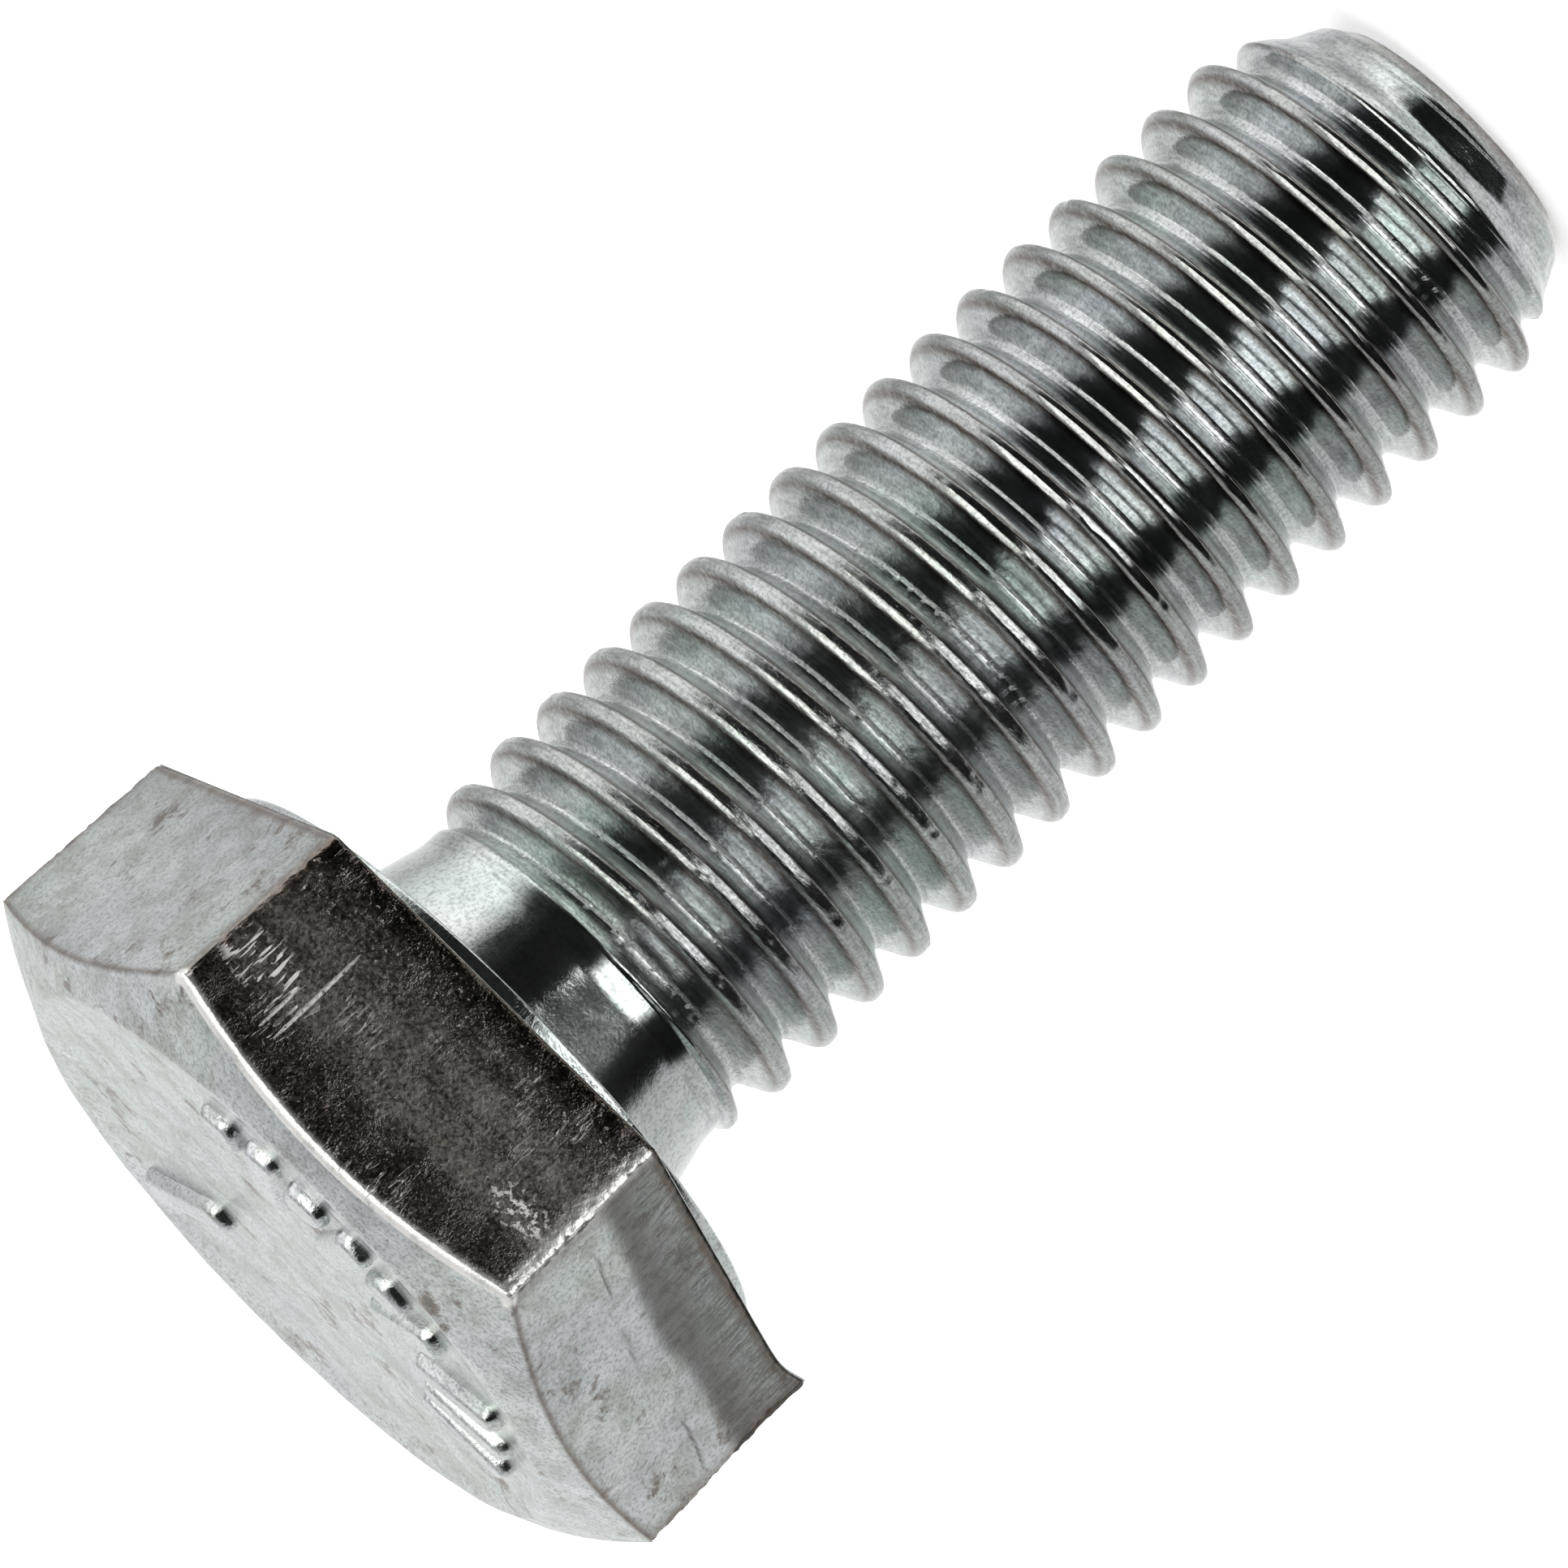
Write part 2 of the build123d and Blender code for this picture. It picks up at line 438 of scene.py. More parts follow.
def shank_piece():
    """The thread, its run-out and the point, in one mesh whose rows follow the helix."""
    angle = round_columns(SHANK_COLUMNS)[None, :]
    turn = helix_rows()[:, None]
    z = CREST_HEIGHT_AT_X + PITCH * (turn + angle / (2 * math.pi))
    end = TIP + END_TILT * (1 + np.cos(angle))

    # rows along the helix, then one row round the top of the shank and one round its end
    above, below = z >= NECK_END, z <= end
    z = np.concatenate([np.clip(z, end, NECK_END), NECK_END + 0 * angle, end])
    plain, crestness, across = thread_radius(angle, z)
    radius, helix, rough_zone = thread_wear(angle, z, plain, crestness, across)
    height = z - end
    waviness = fractal(polar(angle, 5.0, z), 0.8, octaves=3, seed=14) * 0.03
    cut = point_envelope(height) + waviness
    past_cut = radius - cut
    radius = smooth_min(radius, cut, 0.08)
    radius[-2] = neck_radius(-NECK_END)
    edge_lines = tarnish_lines(across, -z, height, past_cut, crestness)
    points = polar(angle, radius, z)
    faces = spiral_faces(above, below, SHANK_COLUMNS)

    # the end of the point: a sheared face, a little domed and rough
    last = (len(points) - 1) * SHANK_COLUMNS
    rings = []
    for share in END_SHARES:
        ring = polar(angle[0], radius[-1] * share, end[0])
        rough = fractal(ring, 1.3, octaves=4, seed=31) * 0.07 * (1 - share**6)
        dome = 0.05 * (1 - share) + rough
        ring[:, 2] += np.maximum(dome, 0) + 0.12 * (1 - share) ** 2
        rings.append(ring)
    rings = np.array(rings)
    cap = np.array(ring_faces(len(rings) + 1, SHANK_COLUMNS)) + last
    faces += cap[:, ::-1].tolist()
    total = last + (len(rings) + 1) * SHANK_COLUMNS
    faces.append(list(range(total - SHANK_COLUMNS, total))[::-1])

    def padded(values, fill):
        values = np.broadcast_to(values, z.shape)
        return np.concatenate([values, np.full((len(rings), SHANK_COLUMNS), fill)]).reshape(-1)

    vertices = np.concatenate([points, rings]).reshape(-1, 3)
    piece = add_piece(
        "threaded_shank_surface",
        vertices,
        faces,
        {
            "edge": padded(edge_lines, 0.0),
            "rough_zone": padded(rough_zone, 1.0),
            "helix": np.concatenate([helix, rings]).reshape(-1, 3),
        },
    )
    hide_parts("threaded_shank")
    return piece


# ---------------------------------------------------------------- neck and washer face


def turned_piece(name, path, rough, cell):
    """A turned surface through (radius, height) points, with a little unevenness."""
    path = np.array(path)
    angle = round_columns(TURNED_COLUMNS)[None, :]
    radius, z = path[:, :1], path[:, 1:]
    wave = fractal(polar(angle, radius, z), cell, octaves=3, seed=41) * rough
    wave[0] = wave[-1] = 0
    return ring_mesh(name, polar(angle, radius + wave, z))


def arc(centre, radius, start, end, count):
    """Points of an arc in the (radius, height) plane; angles in degrees."""
    angles = np.radians(np.linspace(start, end, count))
    return [(centre[0] + radius * math.cos(a), centre[1] + radius * math.sin(a)) for a in angles]


def neck_piece():
    """Plain neck: flared out under the head, and narrowed to a waist where the thread starts."""
    heights = np.linspace(NECK_END, -NECK_FILLET - 0.02, 80)
    path = list(zip(neck_radius(-heights), heights))
    path += arc((FLARE_RADIUS, -NECK_FILLET), NECK_FILLET, 180, 90, 24)
    piece = turned_piece("neck_surface", path, rough=0.012, cell=1.3)
    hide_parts("neck")
    return piece


def washer_piece():
    """The thin round pad under the hexagon, its lower edge rounded."""
    edge = 0.14
    lip = WASHER_RADIUS - edge
    path = [(r, 0.0) for r in np.linspace(FLARE_RADIUS - 0.05, lip, 30)]
    path += arc((lip, edge), edge, -90, 0, 8)[1:]
    path += [(WASHER_RADIUS, z) for z in np.linspace(edge + 0.03, HEAD_BASE - 0.06, 6)]
    path += [(WASHER_RADIUS + 0.06, HEAD_BASE + 0.1), (WASHER_RADIUS - 0.8, HEAD_BASE + 0.12)]
    piece = turned_piece("washer_face_surface", path, rough=0.01, cell=1.5)
    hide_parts("washer_face")
    return piece


# ---------------------------------------------------------------- head


def head_columns():
    """Angles round the head, closer together at the corners."""
    half = np.linspace(-1, 1, COLUMNS_PER_SECTOR, endpoint=False)
    offset = np.sign(half) * np.abs(half) ** 1.4 * math.radians(30)
    return np.concatenate([offset + math.radians(60) * k for k in range(SECTORS)])


def hexagon_radius(angle, flat_distance, rounding):
    """Radius of a hexagon with rounded corners; corners at 0, 60, 120 degrees and so on."""
    corner = np.abs((angle + math.pi / 6) % (math.pi / 3) - math.pi / 6)
    centre = (flat_distance - rounding) / math.cos(math.pi / 6)
    tangent_angle = math.atan2(rounding * 0.5, centre + rounding * math.cos(math.pi / 6))
    flat = flat_distance / np.cos(math.pi / 6 - corner)
    inside = np.maximum(rounding**2 - (centre * np.sin(corner)) ** 2, 0)
    round_part = centre * np.cos(corner) + np.sqrt(inside)
    return np.where(corner < tangent_angle, round_part, flat)


def facet_place(angle, radius, z):
    """Which facet each point is on, and its place on that facet: along it, and up it.

    The third value sets the facets apart, so that no two have the same noise.
    """
    facet = np.floor((angle % (2 * math.pi)) / (math.pi / 3)).astype(int) % SECTORS
    along = radius * np.sin(angle - (facet + 0.5) * math.pi / 3)
    facet, along, z = np.broadcast_arrays(facet, along, z)
    return facet, np.stack([along, z, facet * 9.0], axis=-1)


def facet_relief(facet, place):
    """How far the flats lie inside the tapered hexagon, and the mask of torn metal."""
    z = place[..., 1]
    level_place = place * [1, 0, 1]
    torn = (facet == TORN_FACET) * 1.0
    border = TORN_HEIGHT + fractal(level_place, (3.0, 1, 1), octaves=3, seed=51) * 0.45
    below = smooth_step(0.35, -0.35, z - border)
    streak = fractal(place, (0.18, 1.3, 1), octaves=3, seed=61)
    pit = np.clip(fractal(place, 0.3, octaves=3, seed=71), 0, 1)
    deep = torn * below * (0.10 + 0.06 * streak * below + 0.08 * pit)
    step = (1 - torn) * below * (0.012 + 0.006 * streak)
    crack_line = border + 0.95 + 0.3 * fractal(level_place, (2.0, 1, 1), octaves=2, seed=81)
    crack = bump(z, crack_line, 0.05) * 0.06 * torn
    crack = crack * smooth_step(0.2, 0.5, noise(level_place, (1.6, 1, 1), seed=91))
    scuff = np.clip(fractal(place, 0.6, octaves=3, seed=101) - 0.3, 0, 1) * 0.04
    wave = fractal(place, 3.0, octaves=2, seed=111) * 0.02
    return deep + step + crack + scuff + wave, torn * below + crack * 14


class HeadSurface:
    """Rows of points round the head, with the values that its material reads."""

    def __init__(self, angle):
        self.angle = angle
        self.points = []
        self.values = {key: [] for key in ("torn", "edge", "shine", "front", "foot", "place")}

    def add(self, radius, height, torn=0.0, edge=0.0, shine=0.0, side=True):
        """Add a row. Rows that are not on the sides are never part of the front flat or a foot."""
        row = polar(self.angle, radius, height)[0]
        facet, place = facet_place(self.angle, radius, height)
        on_side = 1.0 if side else 0.0
        values = {
            "torn": torn,
            "edge": edge,
            "shine": shine,
            "front": (facet[0] == FRONT_FACET) * on_side,
            "foot": smooth_step(*FOOT_SHADE, place[0][:, 1]) * on_side,
        }
        self.points.append(row)
        self.values["place"].append(place[0] if side else row)
        for key, value in values.items():
            self.values[key].append(np.broadcast_to(value, row.shape[:1]))


def chamfer_height(radius):
    """Height of the conical chamfer round the top at a radius."""
    return HEAD_TOP - (radius - TOP_RIM_RADIUS) * CHAMFER_SLOPE


def taper_at(z):
    """The hexagon's width at a height, as a share of its true width."""
    return 1 + HEAD_TAPER * (z - TAPER_MIDDLE) / TAPER_SPAN


def curve_between(start, corner, end, t):
    """A point on the smooth curve from start to end that bends round a corner."""
    return (1 - t) ** 2 * start + 2 * t * (1 - t) * corner + t**2 * end


def add_underside(surface, base_radius):
    """The underside, from under the washer face out to the rounded bottom edge."""
    inner = WASHER_RADIUS - 0.6
    height = HEAD_BASE + UNDERSIDE_LIFT + 0 * base_radius
    for share in np.linspace(0, 1, 14):
        surface.add(inner + (base_radius - EDGE_ROUND - inner) * share, height, side=False)


def add_sides(surface, base_radius, side_high, bright):
    """The rounded bottom edge and the six flats; returns the relief of the highest row."""
    angle = surface.angle
    side_low = HEAD_BASE + EDGE_ROUND
    facet, place = facet_place(angle, base_radius, side_low + 0 * angle)
    relief, torn = facet_relief(facet, place)
    for turn in np.radians(np.linspace(-75, -15, 5)):
        radius = base_radius * (1 - HEAD_TAPER) - relief - EDGE_ROUND * (1 - math.cos(turn))
        height = side_low + EDGE_ROUND * math.sin(turn) + 0 * angle
        surface.add(radius, height, torn[0], edge=0.8)

    from_corner = np.abs((angle + math.pi / 6) % (math.pi / 3) - math.pi / 6)[0]
    corner_line = bump(from_corner, 0.0, 0.028)
    corner_glint_rub = bump(angle[0] - math.radians(270), -math.radians(29.3), 0.022)
    for share in np.linspace(0, 1, 84):
        z = side_low + (side_high - side_low) * share
        facet, place = facet_place(angle, base_radius, z)
        relief, torn = facet_relief(facet, place)
        dents = np.abs(fractal(polar(angle, base_radius, z), 0.35, octaves=3, seed=161))
        nicks = corner_line * dents * 0.10
        edge = np.maximum(corner_line, bump(z - side_high, 0, 0.12)[0])
        edge = np.maximum(edge, bump(share, 0, 0.02))
        # painted highlight, with rubbed metal: the front flat's top edge and left corner
        shine = bright * np.maximum(corner_glint_rub, bump(z - side_high, 0, 0.10)[0])
        radius = base_radius * taper_at(z) - relief - nicks
        surface.add(radius, z, torn[0], edge * (1 - shine), shine)
    return relief


def add_chamfer(surface, top_radius, side_high, bright):
    """The rounded edge over the flats, wider over the front one, and the conical chamfer."""
    chamfer_start = top_radius - 0.12 - 0.12 * bright
    heights = side_high, chamfer_height(top_radius), chamfer_height(chamfer_start)
    for t in np.linspace(0, 1, 8)[1:]:
        radius = curve_between(top_radius, top_radius, chamfer_start, t)
        height = curve_between(*heights, t)
        surface.add(radius, height, 0.0, (1 - t) * (1 - bright), bright)
    for t in np.linspace(0, 1, 24)[1:]:
        radius = chamfer_start + (TOP_RIM_RADIUS + 0.1 - chamfer_start) * t
        height = chamfer_height(radius)
        rough = fractal(polar(surface.angle, radius, height), 1.1, octaves=4, seed=121)
        surface.add(radius, height + rough * 0.04, side=False)


def add_dish(surface):
    """The rim and the dished top, in to the middle."""
    level = HEAD_TOP + 0 * surface.angle
    rim, dish = np.linspace(TOP_RIM_RADIUS, 8.0, 16), np.linspace(7.85, 0.3, 64)
    for radius in np.concatenate([rim, dish]):
        sink = smooth_step(TOP_RIM_RADIUS - 0.05, DISH_RADIUS - 0.5, radius) * DISH_DEPTH
        rough = fractal(polar(surface.angle, radius, level), 1.5, octaves=4, seed=131)
        height = HEAD_TOP - sink + rough * 0.035
        surface.add(radius + 0 * surface.angle, height, side=False)


def head_piece():
    """The hexagon: its underside, flats, chamfer and dish, with a burr at one corner."""
    angle = head_columns()[None, :]
    base_radius = hexagon_radius(angle, FLAT_DISTANCE, CORNER_ROUNDING)
    from_front = np.abs(angle[0] - math.radians(270))
    bright = smooth_step(0.035, 0.015, from_front - math.radians(30))
    side_high = chamfer_height(base_radius) - 0.10 - 0.08 * bright

    surface = HeadSurface(angle)
    add_underside(surface, base_radius)
    relief = add_sides(surface, base_radius, side_high, bright)
    add_chamfer(surface, base_radius * taper_at(side_high) - relief, side_high, bright)
    add_dish(surface)

    points = np.array(surface.points)
    burr = bump(points[..., 0], BURR_AT_X, BURR_REACH)
    burr = burr * bump(points[..., 2], HEAD_BASE, BURR_REACH)
    out, down = BURR_SIZE
    points[..., 2] -= burr * down
    points[..., 0] -= burr * out
    values = {key: np.array(rows) for key, rows in surface.values.items()}
    piece = ring_mesh("hex_head_surface", points, values, close_end=True)
    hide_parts("hex_head")
    return piece


# ---------------------------------------------------------------- raised marks


def mark_outline(length, width, grow):
    """Points round a pad with rounded corners, grown outward by a given distance."""
    corner = min(length, width) / 2 * MARK_CORNER_SHARE
    turn = round_columns(MARK_COLUMNS)
    x = np.sign(np.cos(turn)) * (length / 2 - corner) + (corner + grow) * np.cos(turn)
    y = np.sign(np.sin(turn)) * (width / 2 - corner) + (corner + grow) * np.sin(turn)
    return x, y


def marks_piece():
    """Raised bars and dots, each a ring of wall rows closed over its top."""
    vertices, faces, start = [], [], 0
    floor = HEAD_TOP - DISH_DEPTH
    for degrees, middle, length, width in MARK_BARS + MARK_DOTS:
        rings = []
        for grow, height in MARK_WALL:
            x, y = mark_outline(length, width, grow)
            rings.append(np.stack([x + middle, y, floor + height + 0 * x], axis=-1))
        rim = rings[-1]
        for share in MARK_TOP_SHARES:
            across = middle + (rim[:, 0] - middle) * share
            rings.append(np.stack([across, rim[:, 1] * share, rim[:, 2]], axis=-1))
        rings = np.array(rings)
        turn = math.radians(degrees)
        x, y = rings[..., 0].copy(), rings[..., 1].copy()
        rings[..., 0] = x * math.cos(turn) - y * math.sin(turn)
        rings[..., 1] = x * math.sin(turn) + y * math.cos(turn)
        uneven = fractal(rings, 0.6, octaves=3, seed=141) * 0.05
        rings[..., 2] += uneven * (rings[..., 2] > floor)
        rings[..., :2] *= 1 + fractal(rings, 0.7, octaves=2, seed=151)[..., None] * 0.012
        count, columns, _ = rings.shape
        faces += [[i + start for i in face] for face in ring_faces(count, columns)]
        faces.append([start + (count - 1) * columns + i for i in range(columns)])
        vertices.append(rings.reshape(-1, 3))
        start += count * columns
    vertices = np.concatenate(vertices)
    vertices[:, 2] = np.minimum(vertices[:, 2], floor + MARK_HEIGHT)
    piece = add_piece("head_marks_surface", vertices, faces)
    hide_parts("head_marks")
    return piece


# ---------------------------------------------------------------- materials


class Nodes:
    """Short names for building one node tree."""

    def __init__(self, tree):
        self.tree = tree

    def plug(self, socket, value):
        """Link another node's output to a socket, or set the socket's own value."""
        if isinstance(value, bpy.types.NodeSocket):
            self.tree.links.new(value, socket)
        else:
            socket.default_value = value

    def add(self, kind, inputs=None, **settings):
        node = self.tree.nodes.new(kind)
        for key, value in settings.items():
            setattr(node, key, value)
        for key, value in (inputs or {}).items():
            self.plug(node.inputs[key], value)
        return node

    def math(self, operation, a, b=0.0, clamp=False):
        node = self.add("ShaderNodeMath", operation=operation, use_clamp=clamp)
        self.plug(node.inputs[0], a)
        self.plug(node.inputs[1], b)
        return node.outputs[0]

    def plus(self, a, b):
        return self.math("ADD", a, b)

    def minus(self, a, b, clamp=False):
        return self.math("SUBTRACT", a, b, clamp)

    def times(self, a, b, clamp=False):
        return self.math("MULTIPLY", a, b, clamp)

    def over(self, a, b):
        return self.math("DIVIDE", a, b)

    def larger(self, a, b):
        return self.math("MAXIMUM", a, b)

    def mix(self, factor, a, b):
        """From colour a to colour b as the factor goes from 0 to 1."""
        node = self.add("ShaderNodeMix", data_type="RGBA")
        self.plug(node.inputs[0], factor)
        self.plug(node.inputs[6], a)
        self.plug(node.inputs[7], b)
        return node.outputs[2]

    def shade(self, colour, factor):
        """A colour multiplied by another, or by a level."""
        node = self.add("ShaderNodeMix", data_type="RGBA", blend_type="MULTIPLY")
        self.plug(node.inputs[0], 1.0)
        self.plug(node.inputs[6], colour)
        self.plug(node.inputs[7], factor)
        return node.outputs[2]

    def scaled(self, vector, scale):
        return self.add("ShaderNodeMapping", inputs={"Vector": vector, "Scale": scale}).outputs[0]

    def attribute(self, name, output="Fac"):
        return self.add("ShaderNodeAttribute", attribute_name=name).outputs[output]

    def ramp(self, value, stops):
        """A level, or a colour, that changes between (place, level) stops."""
        node = self.add("ShaderNodeValToRGB", inputs={"Fac": value})
        elements = node.color_ramp.elements
        while len(elements) < len(stops):
            elements.new(0.5)
        for element, (place, level) in zip(elements, stops):
            element.position = place
            element.color = (level, level, level, 1) if isinstance(level, float) else (*level, 1)
        return node.outputs["Color"]

    def noise(self, vector, scale, detail=4.0, roughness=0.6, distortion=0.0):
        inputs = {
            "Vector": vector,
            "Scale": scale,
            "Detail": detail,
            "Roughness": roughness,
            "Distortion": distortion,
        }
        return self.add("ShaderNodeTexNoise", inputs=inputs).outputs["Fac"]


def new_material(name):
    """A metal material, with its node helper and its shader."""
    material = bpy.data.materials.new(name)
    material.use_nodes = True
    tree = material.node_tree
    tree.nodes.clear()
    nodes = Nodes(tree)
    shader = nodes.add("ShaderNodeBsdfPrincipled", inputs={"Metallic": 1.0})
    output = nodes.add("ShaderNodeOutputMaterial")
    tree.links.new(shader.outputs[0], output.inputs["Surface"])
    return material, nodes, shader


def zinc_base(nodes, gloss, cloudiness=0.10):
    """What all the plated surfaces share: place, scuffs, colour, roughness and relief.

    Noise scales are per metre here. On the flats and along the helix they are per millimetre.
    """
    place = nodes.add("ShaderNodeTexCoord").outputs["Object"]
    cloud = nodes.noise(place, 420.0, 5.0)
    hue = nodes.noise(place, 190.0, 2.0, distortion=0.8)
    speck = nodes.noise(place, 9000.0, 2.0, 0.6)
    scuff = nodes.noise(place, 1300.0, 6.0, 0.75, 0.5)
    tint = nodes.ramp(hue, [(0.38, ZINC_GREEN), (0.5, ZINC_GREY), (0.62, ZINC_VIOLET)])
    colour = nodes.shade(tint, nodes.ramp(cloud, [(0.32, 0.84), (0.6, 1.0)]))
    colour = nodes.shade(colour, nodes.ramp(speck, [(0.34, 0.66), (0.54, 1.0)]))
    roughness = nodes.plus(nodes.times(cloud, cloudiness * 2), gloss - cloudiness)
    relief = nodes.plus(nodes.times(speck, 0.35), nodes.times(scuff, 0.8))
    return place, scuff, colour, roughness, relief


def finish_zinc(nodes, shader, colour, roughness, relief, depth):
    """Join the plate's values to the shader; depth is the height of the relief in millimetres."""
    raised = nodes.add("ShaderNodeBump", inputs={"Distance": depth * MM, "Height": relief})
    nodes.plug(shader.inputs["Base Color"], colour)
    nodes.plug(shader.inputs["Roughness"], roughness)
    nodes.plug(shader.inputs["Normal"], raised.outputs[0])


def plain_zinc(name, gloss, depth=0.03, stains=0.5, cloudiness=0.10):
    """Bright zinc plate: pale metal with cloudy gloss, fine grain and brownish scuffs."""
    material, nodes, shader = new_material(name)
    _, scuff, colour, roughness, relief = zinc_base(nodes, gloss, cloudiness)
    stain = nodes.times(nodes.ramp(scuff, [(0.55, 0.0), (0.70, 1.0)]), stains)
    colour = nodes.mix(stain, colour, BROWN)
    finish_zinc(nodes, shader, colour, roughness, relief, depth)
    return material


def spot(nodes, across, up, middle, size):
    """Soft round mask on a flat, 1 in its middle; middle and size are in millimetres."""
    dx = nodes.over(nodes.minus(across, middle[0]), size[0])
    dy = nodes.over(nodes.minus(up, middle[1]), size[1])
    square = nodes.plus(nodes.times(dx, dx), nodes.times(dy, dy))
    return nodes.ramp(square, [(0.0, 1.0), (1.0, 0.0)])


def stains_and_foot_shade(nodes, colour, place, scuff, facet):
    """Brown stains and a mottle over the head, painted shade darkening its flats towards their foot,
    and brown dirt at the very foot.
    """
    blotch = nodes.noise(facet, 0.55, 5.0, 0.6)
    stain = nodes.ramp(nodes.times(blotch, scuff), [(0.305, 0.0), (0.37, 0.85)])
    colour = nodes.mix(stain, colour, BROWN)
    mottle = nodes.noise(place, 1000.0, 3.0, 0.6, 0.6)
    colour = nodes.shade(colour, nodes.ramp(mottle, [(0.36, MOTTLE_DARK), (0.58, MOTTLE_LIGHT)]))
    # painted shade: darker towards the foot of each flat
    foot = nodes.attribute("foot")
    colour = nodes.shade(colour, nodes.ramp(foot, [(0.0, 1.0), (0.8, 0.84)]))
    dirt = nodes.ramp(foot, [(0.82, 0.0), (0.99, 0.8)])
    dirt = nodes.times(dirt, nodes.ramp(scuff, [(0.46, 0.0), (0.58, 1.0)]))
    return nodes.mix(dirt, colour, BROWN)


def torn_colour(nodes, colour, torn, upright, up):
    """Dark torn metal with lighter upright streaks in it, solid along its top."""
    tear_top = nodes.ramp(nodes.over(up, TORN_HEIGHT), [(0.25, 0.12), (0.75, 1.0)])
    tear = nodes.times(torn, nodes.ramp(upright, [(0.42, 1.0), (0.60, 0.0)]))
    tear = nodes.larger(tear, nodes.times(torn, tear_top))
    return nodes.mix(nodes.times(tear, 0.85), colour, TORN_GREY)


def front_haze_and_shade(nodes, colour, roughness, front, facet, up, grit):
    """Painted shade on the front flat, a darker brown with a gritty mottle; haze in level bands sets
    its roughness, clearer at the foot and under the top edge.
    """
    level = nodes.noise(nodes.scaled(facet, (0.22, 1.9, 1.0)), 1.0, 3.0, 0.6)
    band = nodes.ramp(nodes.over(up, FLAT_HEIGHT), HAZE_BANDS)
    haze = nodes.times(band, nodes.ramp(level, [(0.36, 0.7), (0.6, 1.0)]))
    gritty_shade = nodes.ramp(grit, [(0.34, 0.62), (0.5, 0.86), (0.66, 1.1)])
    # painted shade: the front flat alone turns a darker brown, mottled by the grit
    colour = nodes.mix(nodes.times(front, 0.85), colour, FRONT_SHADE_BROWN)
    colour = nodes.shade(colour, nodes.mix(front, (1, 1, 1, 1), gritty_shade))
    clear = nodes.minus(0.155, nodes.times(haze, 0.255))
    roughness = nodes.minus(roughness, nodes.times(front, clear))
    grain = nodes.minus(nodes.ramp(grit, [(0.38, 0.0), (0.62, 0.14)]), 0.07)
    return colour, nodes.plus(roughness, nodes.times(front, grain))


def scratch_marks(nodes, front, facet, across, up, grit):
    """Mask of scratches: a few on every flat; knocks, two single ones and flecks on the front."""
    scratch = nodes.noise(nodes.scaled(facet, (7.5, 1.1, 1.0)), 1.0, 1.0)
    scratch = nodes.ramp(scratch, [(0.57, 0.0), (0.61, 1.0)])
    knock_left = spot(nodes, across, up, *KNOCK_LEFT)
    knock_right = spot(nodes, across, up, *KNOCK_RIGHT)
    chips = nodes.noise(nodes.scaled(facet, (4.4, 4.0, 1.0)), 1.0, 4.0, 0.72)
    chips = nodes.plus(chips, nodes.times(knock_left, 0.12))
    fleck = nodes.ramp(chips, [(0.63, 0.0), (0.66, 1.0)])
    foot = nodes.ramp(nodes.over(up, FLAT_HEIGHT), FLECKED_FOOT)
    cluster = nodes.ramp(nodes.noise(facet, 0.55, 3.0), [(0.44, 0.15), (0.56, 1.0)])
    foot = nodes.times(foot, cluster)
    few = nodes.times(nodes.ramp(nodes.noise(facet, 0.33, 2.0), [(0.58, 0.0), (0.66, 1.0)]), 0.2)
    struck = nodes.times(front, nodes.ramp(knock_right, [(0.0, 0.0), (0.6, 1.0)]))
    worn = nodes.larger(struck, few)
    bright = nodes.larger(nodes.larger(knock_left, knock_right), foot)
    marks = nodes.times(scratch, worn)
    marks = nodes.plus(marks, nodes.times(fleck, nodes.times(front, bright)))
    long_scratch = spot(nodes, across, up, *LONG_SCRATCH)
    short_scratch = spot(nodes, across, up, *SHORT_SCRATCH)
    single = nodes.times(nodes.plus(long_scratch, short_scratch), front)
    return nodes.plus(marks, nodes.times(single, nodes.ramp(grit, [(0.4, 0.3), (0.55, 1.0)])))


def head_zinc():
    """The head's plate: torn metal, brown edge lines, and a front flat with painted shade, haze and
    scratches.
    """
    material, nodes, shader = new_material("head_zinc_plate")
    place, scuff, colour, roughness, relief = zinc_base(nodes, 0.25)
    facet = nodes.attribute("place", "Vector")
    torn = nodes.attribute("torn")
    edge = nodes.attribute("edge")
    shine = nodes.attribute("shine")
    front = nodes.minus(nodes.attribute("front"), shine, clamp=True)
    across, up, _ = nodes.add("ShaderNodeSeparateXYZ", inputs={"Vector": facet}).outputs
    upright = nodes.noise(nodes.scaled(facet, (9.0, 1.1, 1.0)), 1.0, 4.0, 0.7)
    grit = nodes.noise(facet, 6.5, 4.0, 0.75)

    colour = stains_and_foot_shade(nodes, colour, place, scuff, facet)
    colour = torn_colour(nodes, colour, torn, upright, up)
    roughness = nodes.plus(roughness, nodes.times(torn, 0.15))
    colour, roughness = front_haze_and_shade(nodes, colour, roughness, front, facet, up, grit)

    # thin brown lines along the edges
    line = nodes.times(edge, nodes.ramp(scuff, [(0.3, 0.55), (0.6, 1.0)]))
    colour = nodes.mix(line, colour, BROWN)

    # rubbed bare metal and a painted highlight: a paler colour along the front flat's top edge and
    # left corner
    glint_rub = nodes.times(shine, nodes.ramp(scuff, [(0.36, 0.3), (0.52, 1.0)]))
    colour = nodes.mix(glint_rub, colour, GLINT_RUB_METAL)
    roughness = nodes.plus(roughness, nodes.times(shine, 0.08))

    # scratches cut into every flat, but bright only on the front one
    marks = scratch_marks(nodes, front, facet, across, up, grit)
    bare = nodes.times(marks, front, clamp=True)
    colour = nodes.mix(bare, colour, SCRATCHED_METAL)
    roughness = nodes.plus(roughness, nodes.times(bare, 0.38))

    ridges = nodes.times(upright, nodes.times(torn, 1.5))
    relief = nodes.minus(nodes.plus(relief, ridges), nodes.times(marks, 1.2))
    finish_zinc(nodes, shader, colour, roughness, relief, 0.035)
    return material


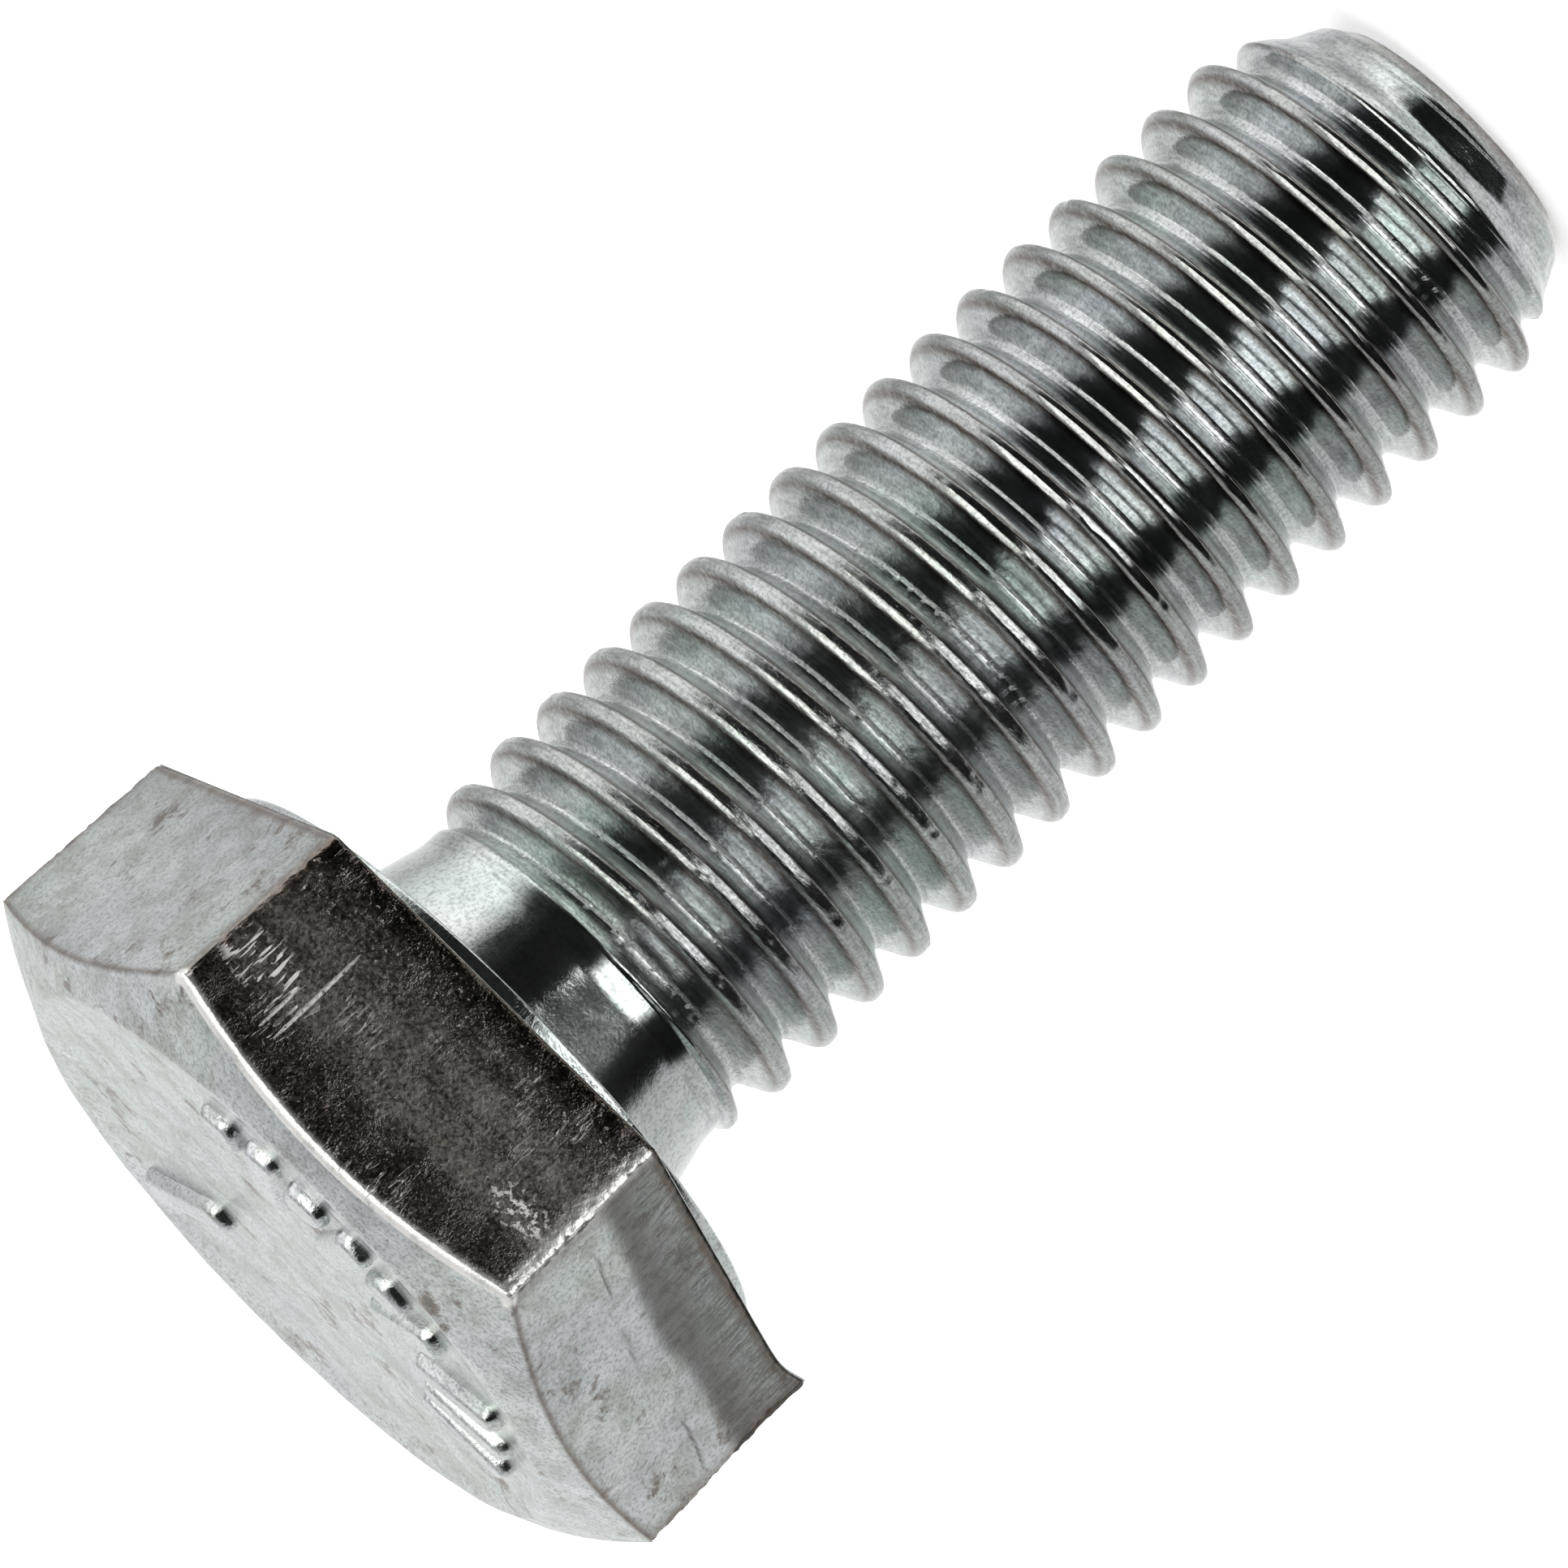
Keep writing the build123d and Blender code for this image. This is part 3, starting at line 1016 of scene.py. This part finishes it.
def thread_zinc():
    """The thread's plate: lines along the helix, brown crests, pits that fade towards the point."""
    material, nodes, shader = new_material("thread_zinc_plate")
    _, _, colour, roughness, _ = zinc_base(nodes, 0.11, cloudiness=0.03)
    edge = nodes.attribute("edge")
    rough_zone = nodes.attribute("rough_zone")
    helix = nodes.attribute("helix", "Vector")

    lines = nodes.noise(nodes.scaled(helix, (9.0, 0.9, 0.9)), 1.0, 3.0, 0.7)
    bits = nodes.noise(nodes.scaled(helix, (7.0, 4.0, 4.0)), 1.0, 3.0, 0.7)
    colour = nodes.shade(colour, nodes.ramp(lines, [(0.35, 0.66), (0.6, 1.0)]))
    worn_line = nodes.times(edge, nodes.ramp(bits, [(0.35, 0.55), (0.55, 0.97)]))
    colour = nodes.mix(worn_line, colour, CREST_BROWN)
    roughness = nodes.plus(roughness, nodes.times(rough_zone, 0.045))
    scored = nodes.plus(nodes.times(rough_zone, 0.35), 0.15)
    relief = nodes.plus(nodes.times(lines, scored), nodes.times(bits, nodes.times(rough_zone, 0.65)))
    finish_zinc(nodes, shader, colour, roughness, relief, 0.02)
    return material


def floor_material():
    """Matt white that glows a little, so that the floor is about as pale as the background."""
    material, nodes, shader = new_material("floor_white")
    place = nodes.add("ShaderNodeTexCoord").outputs["Object"]
    colour = nodes.mix(nodes.noise(place, 3.0), (0.93, 0.93, 0.93, 1), (0.95, 0.95, 0.95, 1))
    nodes.plug(shader.inputs["Base Color"], colour)
    shader.inputs["Metallic"].default_value = 0.0
    shader.inputs["Roughness"].default_value = 0.9
    shader.inputs["Emission Color"].default_value = (1, 1, 1, 1)
    shader.inputs["Emission Strength"].default_value = 0.45
    return material


# ---------------------------------------------------------------- studio


def make_floor():
    """White floor under the end of the point, 6 m square."""
    mesh = bpy.data.meshes.new("floor")
    reach = 3.0
    low = TIP * MM
    corners = [(-reach, -reach), (reach, -reach), (reach, reach), (-reach, reach)]
    mesh.from_pydata([(x, y, low) for x, y in corners], [], [(0, 1, 2, 3)])
    floor = bpy.data.objects.new("floor", mesh)
    bpy.context.scene.collection.objects.link(floor)
    floor.data.materials.append(floor_material())
    floor.visible_glossy = False
    floor.visible_shadow = False


def make_world():
    """Studio surround: pale behind and at the sides, with a dark bay in front of the bolt."""
    world = bpy.data.worlds.new("studio")
    bpy.context.scene.world = world
    world.use_nodes = True
    tree = world.node_tree
    tree.nodes.clear()
    nodes = Nodes(tree)
    direction = nodes.add("ShaderNodeTexCoord").outputs["Generated"]
    x, y, z = nodes.add("ShaderNodeSeparateXYZ", inputs={"Vector": direction}).outputs
    azimuth = nodes.math("ARCTAN2", x, nodes.times(y, -1.0))
    turn = nodes.plus(nodes.over(azimuth, 2 * math.pi), 0.5)
    climb = nodes.plus(nodes.over(nodes.math("ARCSINE", z), math.pi), 0.5)

    def around(stops):
        return nodes.ramp(turn, [(degrees / 360 + 0.5, level) for degrees, level in stops])

    def upward(stops):
        return nodes.ramp(climb, [(degrees / 180 + 0.5, level) for degrees, level in stops])

    level = nodes.mix(upward(ROOF), around(SURROUND), ROOF_LIGHT)
    strip = nodes.times(upward(STRIP_UPWARD), around(STRIP_AROUND))
    level = nodes.mix(strip, level, STRIP_LIGHT)
    haze = nodes.noise(direction, 3.5, 3.0)
    level = nodes.shade(level, nodes.ramp(haze, [(0.3, 0.88), (0.7, 1.06)]))
    path = nodes.add("ShaderNodeLightPath")
    shown = nodes.mix(path.outputs["Is Glossy Ray"], BACKDROP_LIGHT, level)
    background = nodes.add("ShaderNodeBackground", inputs={"Color": shown, "Strength": 1.0})
    output = nodes.add("ShaderNodeOutputWorld")
    tree.links.new(background.outputs[0], output.inputs["Surface"])


def make_softbox(name, azimuth, distance, width, low, high, strength):
    """An upright light that only shows as a reflection; heights and sizes in millimetres."""
    light = bpy.data.lights.new(name, "AREA")
    light.shape = "RECTANGLE"
    light.size = width * MM
    light.size_y = (high - low) * MM
    light.energy = strength * math.pi * light.size * light.size_y
    lamp = bpy.data.objects.new(name, light)
    turn = math.radians(azimuth)
    outward = Vector((math.sin(turn), -math.cos(turn), 0))
    lamp.location = outward * distance * MM + Vector((0, 0, (low + high) / 2 * MM))
    lamp.rotation_mode = "QUATERNION"
    lamp.rotation_quaternion = (-outward).to_track_quat("-Z", "Y")
    lamp.visible_camera = False
    lamp.visible_diffuse = False
    bpy.context.scene.collection.objects.link(lamp)


def make_camera():
    """A long lens at the height and side the bolt is seen from, rolled so that it lies aslant."""
    back = Vector(
        (
            math.sin(VIEW_AZIMUTH) * math.cos(VIEW_ELEVATION),
            -math.cos(VIEW_AZIMUTH) * math.cos(VIEW_ELEVATION),
            math.sin(VIEW_ELEVATION),
        )
    )
    down_axis = Vector((0, 0, -1))
    towards_tip = (down_axis - back * down_axis.dot(back)).normalized()
    across = (-back).cross(towards_tip)
    right = towards_tip * math.cos(VIEW_ROLL) + across * math.sin(VIEW_ROLL)
    down = across * math.cos(VIEW_ROLL) - towards_tip * math.sin(VIEW_ROLL)
    distance = VIEW_WIDTH * MM * LENS / SENSOR
    aim = Vector((0, 0, VIEW_CENTRE_HEIGHT * MM)) + across * VIEW_CENTRE_SIDE * MM
    data = bpy.data.cameras.new("camera")
    data.lens = LENS
    data.sensor_width = SENSOR
    data.clip_start = 0.05
    data.clip_end = 20
    camera = bpy.data.objects.new("camera", data)
    turn = Matrix((right, -down, back)).transposed().to_4x4()
    camera.matrix_world = Matrix.Translation(aim + back * distance) @ turn
    bpy.context.scene.collection.objects.link(camera)
    bpy.context.scene.camera = camera


# ---------------------------------------------------------------- build

head = head_piece()
marks = marks_piece()
washer = washer_piece()
neck = neck_piece()
shank = shank_piece()

marks_zinc = plain_zinc("marks_zinc_plate", gloss=0.16)
washer_zinc = plain_zinc("washer_zinc_plate", gloss=0.12, depth=0.015)
neck_zinc = plain_zinc("neck_zinc_plate", gloss=0.115, depth=0.006, stains=0.35, cloudiness=0.06)
head.data.materials.append(head_zinc())
marks.data.materials.append(marks_zinc)
washer.data.materials.append(washer_zinc)
neck.data.materials.append(neck_zinc)
shank.data.materials.append(thread_zinc())

make_floor()
make_world()
for layer, (width, low_edge, high_edge, strength) in enumerate(SOFTBOX_LAYERS):
    distance = SOFTBOX_DISTANCE + layer * LAYER_SPACING
    make_softbox(f"softbox_{layer}", SOFTBOX_AZIMUTH, distance, width, low_edge, high_edge, strength)
make_softbox("softbox_low", SOFTBOX_AZIMUTH, SOFTBOX_DISTANCE, *LOW_SOFTBOX)
make_camera()
bpy.context.scene.view_settings.view_transform = "Standard"
